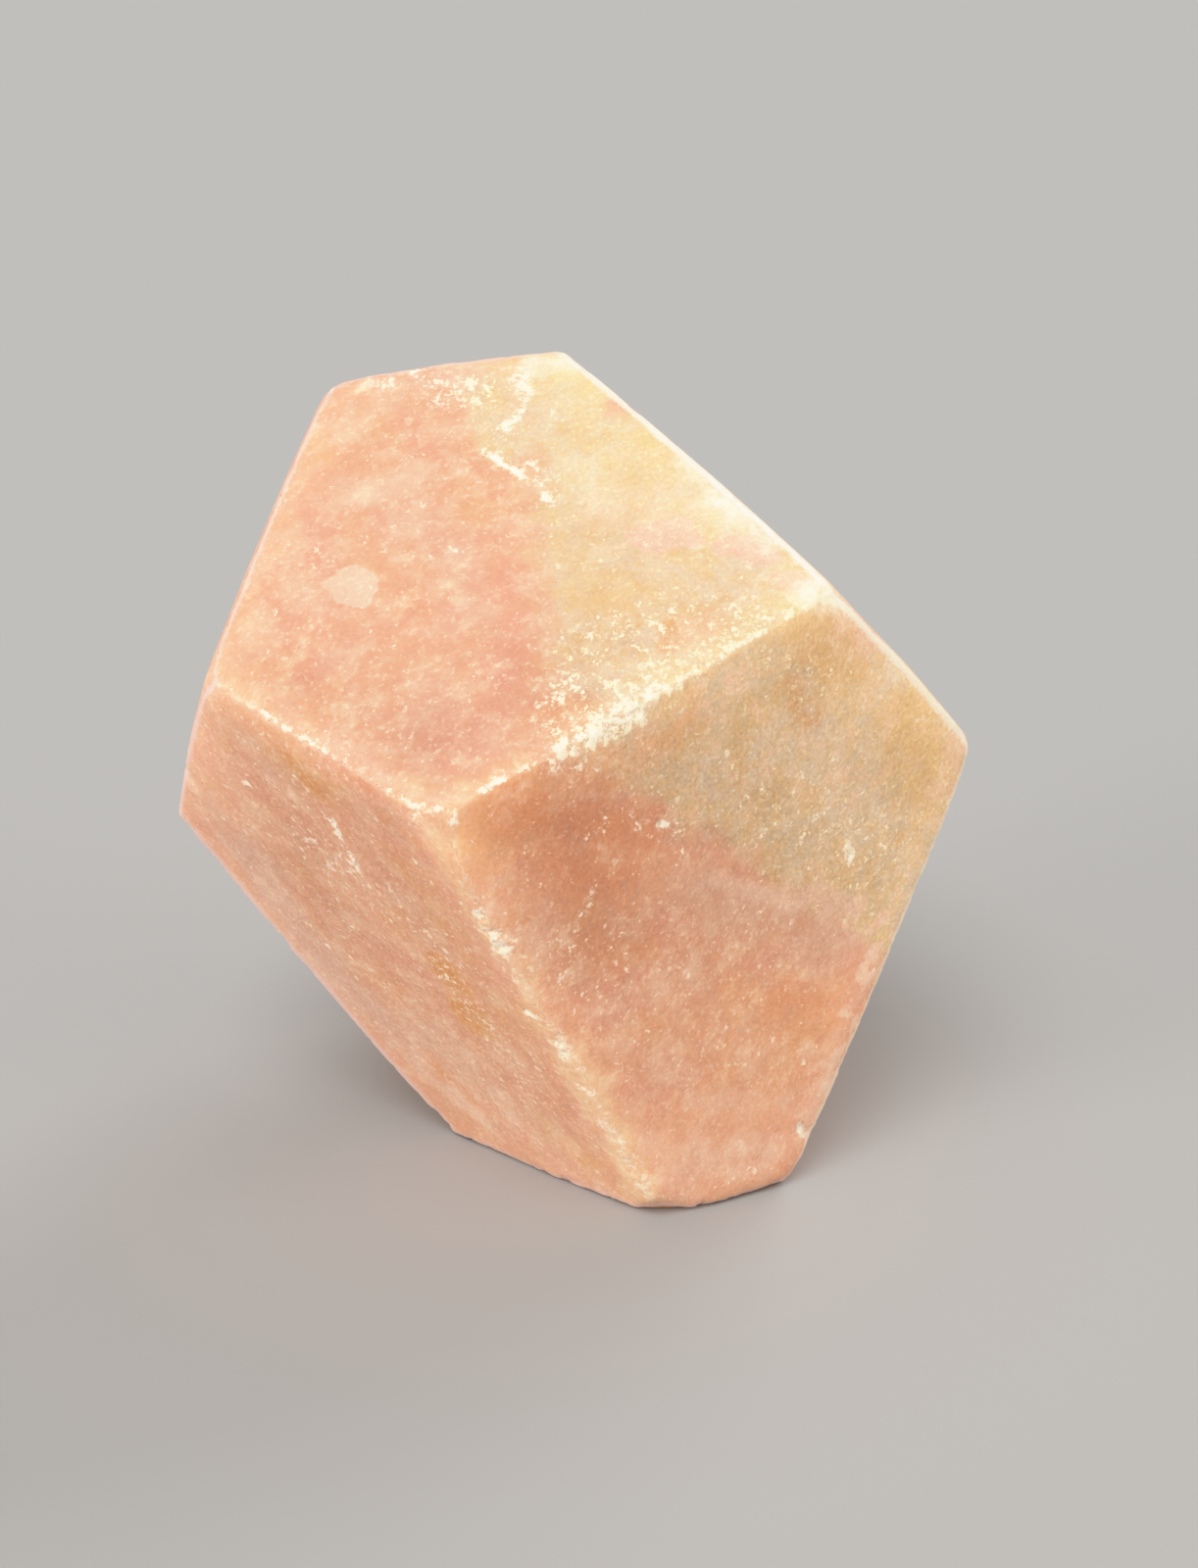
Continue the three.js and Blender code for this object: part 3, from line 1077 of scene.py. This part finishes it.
def shaken(wire, position, size, reach):
    """The position, shaken by noise so that round shapes come out ragged."""
    shake = wire.noise(position, size, *SHAKE_NOISE, "Color")
    return wire.plus(position, wire.scaled(wire.plus(shake, (-0.5, -0.5, -0.5)), reach))


def rock_colour(wire, position, tint):
    """Pink and cream rock with their clouds, and a mask that is 1 beyond the surface between them."""
    group = cloud_group()
    rocks = []
    for base, layers in (("peach", PINK_CLOUDS), ("cream", CREAM_CLOUDS)):
        colour = tint(base)
        for name, size, cover, softness, strength in layers:
            mask = wire.place(group, Position=position, Size=size, Cover=cover, Softness=softness)
            colour = wire.blend(wire.times(mask, strength), colour, tint(name))
        rocks.append(colour)
    wander = wire.noise(position, *BORDER)
    across = wire.sum(wire.attribute("cream"), wire.centred(wander, 2 * ZONE_WANDER))
    sharp = wire.fade(wire.dot(position, (1.0, 0.0, 0.0)), *SHARP_FROM)
    half = wire.between(sharp, ZONE_SOFT, ZONE_SHARP)
    creamy = wire.fade(across, wire.times(half, -1.0), half)
    return wire.blend(creamy, *rocks), creamy


def with_patches(wire, colour, tint, wisps, mottle):
    """The rock with its marks laid over, some of them painted light, their edges pushed about by two
    textures.
    """
    push = wire.sum(wire.centred(wisps, PATCH_RAGGED), wire.centred(mottle, PATCH_FINE))
    for name, strength, softness in PATCHES:
        edge = wire.sum(wire.attribute(name), push)
        patch = wire.times(wire.fade(edge, PATCH_EDGE - softness, PATCH_EDGE + softness), strength)
        colour = wire.blend(patch, colour, tint(PATCH_COLOURS.get(name, name)))
    return colour


def rock_level(wire, creamy, wisps, mottle, grit):
    """How light the rock is, about 1: lighter near thin edges as a painted glow, with soft spots that are
    partly painted light and shade, mottling and grit.
    """
    ridge_glow_falloff = wire.fade(wire.attribute("ridge"), 0.0, PAINTED_RIDGE_GLOW_REACH)
    level = wire.between(ridge_glow_falloff, 1.0 + PAINTED_RIDGE_GLOW / 2, 1.0 - PAINTED_RIDGE_GLOW / 2)
    # soft spots, partly the rock's own tone and partly painted light and shade
    level = wire.sum(level, wire.attribute("shade"))
    level = wire.sum(level, wire.centred(mottle, MOTTLE_SHADE))
    level = wire.sum(level, wire.centred(wisps, WISP_SHADE))
    amount = wire.times(wire.attribute("grain"), wire.between(creamy, 1.0, 1.0 + CREAM_GRIT))
    return wire.sum(level, wire.times(wire.centred(grit, GRIT_SHADE), amount))


def with_grains(wire, colour, tint, light, lapped, dense):
    """Haze, crumbs and light grains over the rock, the grains partly painted glints, thickest in dense
    patches.
    """
    haze = wire.noise(wire.plus(lapped, HAZE_SHIFT), *HAZE)
    haze = wire.fade(wire.times_plus(dense, HAZE_DENSE, haze), *HAZE_FADE)
    colour = wire.blend(wire.times(haze, HAZE_STRENGTH), colour, tint("haze"))
    amount = wire.between(dense, *CRUMB_AMOUNT)
    crumbs = wire.place(crumb_group(), Position=lapped, Size=CRUMB_SIZE, Amount=amount)
    colour = wire.blend(wire.times(crumbs, CRUMB_STRENGTH), colour, light)
    group = fleck_group()
    ragged = shaken(wire, lapped, *GRAIN_RAGGED)
    grain = wire.attribute("grain")
    amount = wire.times(wire.between(dense, GRAINS_LEAST, 1.0), grain)
    for spacing, radius, share, strength in GRAINS:
        share = wire.times(grain, share)
        flecks = wire.place(group, Position=ragged, Spacing=spacing, Radius=radius, Share=share)
        colour = wire.blend(wire.times(wire.times(flecks, amount), strength), colour, light)
    return colour


def with_crushed(wire, colour, tint, light, position, grit):
    """The rock with crushed stone over it, and where that is."""
    crush = wire.attribute("crush")
    solid = wire.sum(crush, wire.centred(wire.noise(position, *CRUSHED_BITS), BITS_RAGGED))
    solid = wire.sum(solid, wire.centred(grit, GRIT_RAGGED))
    crushed = wire.fade(solid, *CRUSHED_FADE)
    powder = wire.blend(wire.fade(crush, *POWDER_FADE), light, tint("crushed"))
    halo = wire.fade(crush, *HALO_FADE)
    colour = wire.blend(wire.times(halo, HALO_STRENGTH), colour, tint("worn"))
    return wire.blend(wire.times(crushed, CRUSHED_STRENGTH), colour, powder), crushed


def opal_finish(colours):
    """The material of the stone."""
    material = bpy.data.materials.new("polished opal")
    material.use_nodes = True
    shader = material.node_tree.nodes["Principled BSDF"]
    wire = Wiring(material.node_tree)

    def tint(name):
        return (*getattr(colours, name), 1.0)

    place = wire.add("ShaderNodeTexCoord", {}).outputs["Object"]
    position = wire.scaled(place, 1.0 / MM)
    lapped = lapped_position(wire, position)
    wisps, mottle, grit = (wire.noise(lapped, *texture) for texture in (WISPS, MOTTLE, GRIT))
    crush = wire.attribute("crush")

    colour, creamy = rock_colour(wire, position, tint)
    light = wire.blend(creamy, tint("fleck"), tint("speck"))
    colour = with_patches(wire, colour, tint, wisps, mottle)
    colour = wire.deepened(colour, rock_level(wire, creamy, wisps, mottle, grit))

    # worn ridges, lightened also as a painted highlight where rounded edges catch the light
    worn = wire.sum(wire.attribute("wear"), wire.centred(wisps, WEAR_AND_SHEEN_WISPS))
    worn = wire.fade(wire.sum(worn, wire.centred(grit, WEAR_AND_SHEEN_GRIT)), *WEAR_AND_SHEEN_FADE)
    wear_and_sheen_colour = wire.blend(creamy, tint("worn"), tint("chalk"))
    colour = wire.blend(wire.times(worn, WEAR_AND_SHEEN_STRENGTH), colour, wear_and_sheen_colour)

    dense = wire.times_plus(wisps, DENSE_WISPS, DENSE_START)
    dense = wire.sum(dense, wire.times(crush, DENSE_CRUSH))
    dense = wire.calculate("SUBTRACT", dense, wire.times(wire.attribute("ember"), DENSE_EMBER))
    colour = with_grains(wire, colour, tint, light, lapped, wire.fade(dense, *DENSE_FADE))

    # painted glow on thin edges, for light that shines through the rock
    painted_edge_glow = wire.sum(wire.attribute("painted_edge_glow"), wire.centred(grit, EDGE_GLOW_GRIT))
    painted_edge_glow = wire.fade(painted_edge_glow, *EDGE_GLOW_FADE)
    colour = wire.blend(wire.times(painted_edge_glow, EDGE_GLOW_STRENGTH), colour, tint("painted_edge_glow"))
    colour, crushed = with_crushed(wire, colour, tint, light, position, grit)
    wire.put(shader.inputs["Base Color"], colour)

    rough = wire.between(grit, *ROUGHNESS)
    wire.put(shader.inputs["Roughness"], wire.times_plus(crushed, CRUSHED_ROUGHER, rough))
    crumbly = wire.times(wire.noise(position, *CRUMBLY), crush)
    relief = wire.sum(grit, wire.times(crumbly, CRUMBLY_RELIEF))
    inputs = {"Strength": BUMP_STRENGTH, "Distance": BUMP_DEPTH, "Height": relief}
    wire.put(shader.inputs["Normal"], wire.add("ShaderNodeBump", inputs).outputs["Normal"])
    for name, value in SKIN.items():
        wire.put(shader.inputs[name], value)
    return material


# ---- Stage ----

# Soft far-off lights: name, bearing, tilt and spread in degrees, strength and colour.
LIGHTS = (
    ("key", -15.0, 52.0, 30.0, 1.88, (1.0, 0.99, 0.98)),
    ("left fill", -55.0, 9.0, 20.0, 1.82, (1.0, 0.94, 0.86)),
    ("right fill", 70.0, 12.0, 30.0, 0.93, (1.0, 0.90, 0.73)),
    ("rim", 140.0, 35.0, 30.0, 1.18, (1.0, 0.98, 0.96)),
)
SKY = (1.0, 0.99, 0.97)
SKY_STRENGTH = 0.49
# The camera's response: light in, and brightness out.
TONE = ((0.7, 0.7), (0.88, 0.845), (1.04, 0.915), (1.25, 0.97), (1.6, 1.0))
ALL_COLOURS = 3  # the curve that moves red, green and blue together
AIM = Vector((2.4, 0.0, 30.8)) * MM  # the point of the stone that the camera is centred on
SENSOR = 36.0  # mm, width of the camera's sensor
FLOOR_RADIUS = 4.0  # metres
FLOOR_SIDES = 96


def add_floor(colour):
    """A pale matt floor."""
    bpy.ops.mesh.primitive_circle_add(vertices=FLOOR_SIDES, radius=FLOOR_RADIUS, fill_type="NGON")
    floor = bpy.context.object
    floor.name = "floor"
    material = bpy.data.materials.new("pale floor")
    material.use_nodes = True
    shader = material.node_tree.nodes["Principled BSDF"]
    shader.inputs["Base Color"].default_value = (*colour, 1)
    shader.inputs["Roughness"].default_value = 1.0
    shader.inputs["Specular IOR Level"].default_value = 0.0
    floor.data.materials.append(material)


def add_sky(scene):
    """Even light from all round."""
    world = bpy.data.worlds.new("studio")
    scene.world = world
    world.use_nodes = True
    background = world.node_tree.nodes["Background"]
    background.inputs["Color"].default_value = (*SKY, 1)
    background.inputs["Strength"].default_value = SKY_STRENGTH


def add_light(name, bearing, tilt, spread, strength, colour):
    """A soft light, far off to one side."""
    data = bpy.data.lights.new(name, "SUN")
    data.angle = math.radians(spread)
    data.energy = strength
    data.color = colour
    light = bpy.data.objects.new(name, data)
    light.rotation_euler = bearing_and_tilt(bearing, tilt).to_track_quat("Z", "Y").to_euler()
    bpy.context.collection.objects.link(light)


def add_camera(scene, distance, elevation, lens):
    """A camera in front of the stone, looking a little down at it."""
    data = bpy.data.cameras.new("camera")
    data.lens = lens
    data.sensor_width = SENSOR
    data.sensor_fit = "AUTO"
    camera = bpy.data.objects.new("camera", data)
    towards = bearing_and_tilt(0.0, math.degrees(elevation))
    camera.location = AIM + towards * distance
    camera.rotation_euler = towards.to_track_quat("Z", "Y").to_euler()
    bpy.context.collection.objects.link(camera)
    scene.camera = camera


def set_tone(view):
    """Lets bright colours run softly up to white."""
    view.view_transform = "Standard"
    view.use_curve_mapping = True
    mapping = view.curve_mapping
    white = TONE[-1][0]
    mapping.white_level = (white, white, white)
    mapping.extend = "HORIZONTAL"
    for light, brightness in TONE[:-1]:
        mapping.curves[ALL_COLOURS].points.new(light / white, brightness)
    mapping.update()


# ---- Operators ----


class OPAL_OT_stone(bpy.types.Operator):
    """Makes the worn and finished stone in place of its plain solid"""

    bl_idname = "opal.stone"
    bl_label = "Stone"

    def execute(self, context):
        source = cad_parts[NODE]
        mesh = stone_mesh(source, context.scene.opal_shape)
        mesh.name = "opal stone"
        stone = bpy.data.objects.new("opal_stone", mesh)
        context.collection.objects.link(stone)
        mesh.materials.clear()
        mesh.materials.append(opal_finish(context.scene.opal_colours))
        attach(stone, "root")
        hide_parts(NODE)
        return {"FINISHED"}


class OPAL_OT_stage(bpy.types.Operator):
    """Makes the pale floor, the soft lights and the camera"""

    bl_idname = "opal.stage"
    bl_label = "Stage"

    def execute(self, context):
        scene = context.scene
        stage = scene.opal_stage
        add_floor(stage.floor)
        add_sky(scene)
        for light in LIGHTS:
            add_light(*light)
        add_camera(scene, stage.distance, stage.elevation, stage.lens)
        set_tone(scene.view_settings)
        return {"FINISHED"}


class OPAL_PT_panel(bpy.types.Panel):
    """Lists the stone and its stage"""

    bl_idname = "OPAL_PT_panel"
    bl_label = "Opal Freeform"
    bl_space_type = "VIEW_3D"
    bl_region_type = "UI"
    bl_category = "Opal"

    def draw(self, context):
        scene = context.scene
        for groups, operator in (
            ((scene.opal_shape, scene.opal_colours), OPAL_OT_stone),
            ((scene.opal_stage,), OPAL_OT_stage),
        ):
            box = self.layout.box()
            for settings in groups:
                for name in settings.__annotations__:
                    box.prop(settings, name)
            box.operator(operator.bl_idname)


CLASSES = (
    OpalShapeSettings,
    OpalColourSettings,
    OpalStageSettings,
    OPAL_OT_stone,
    OPAL_OT_stage,
    OPAL_PT_panel,
)


def register():
    for item in CLASSES:
        bpy.utils.register_class(item)
    bpy.types.Scene.opal_shape = bpy.props.PointerProperty(type=OpalShapeSettings)
    bpy.types.Scene.opal_colours = bpy.props.PointerProperty(type=OpalColourSettings)
    bpy.types.Scene.opal_stage = bpy.props.PointerProperty(type=OpalStageSettings)


def unregister():
    del bpy.types.Scene.opal_stage
    del bpy.types.Scene.opal_colours
    del bpy.types.Scene.opal_shape
    for item in reversed(CLASSES):
        bpy.utils.unregister_class(item)


def main():
    register()
    bpy.ops.opal.stage()
    bpy.ops.opal.stone()


if __name__ == "__main__":
    main()
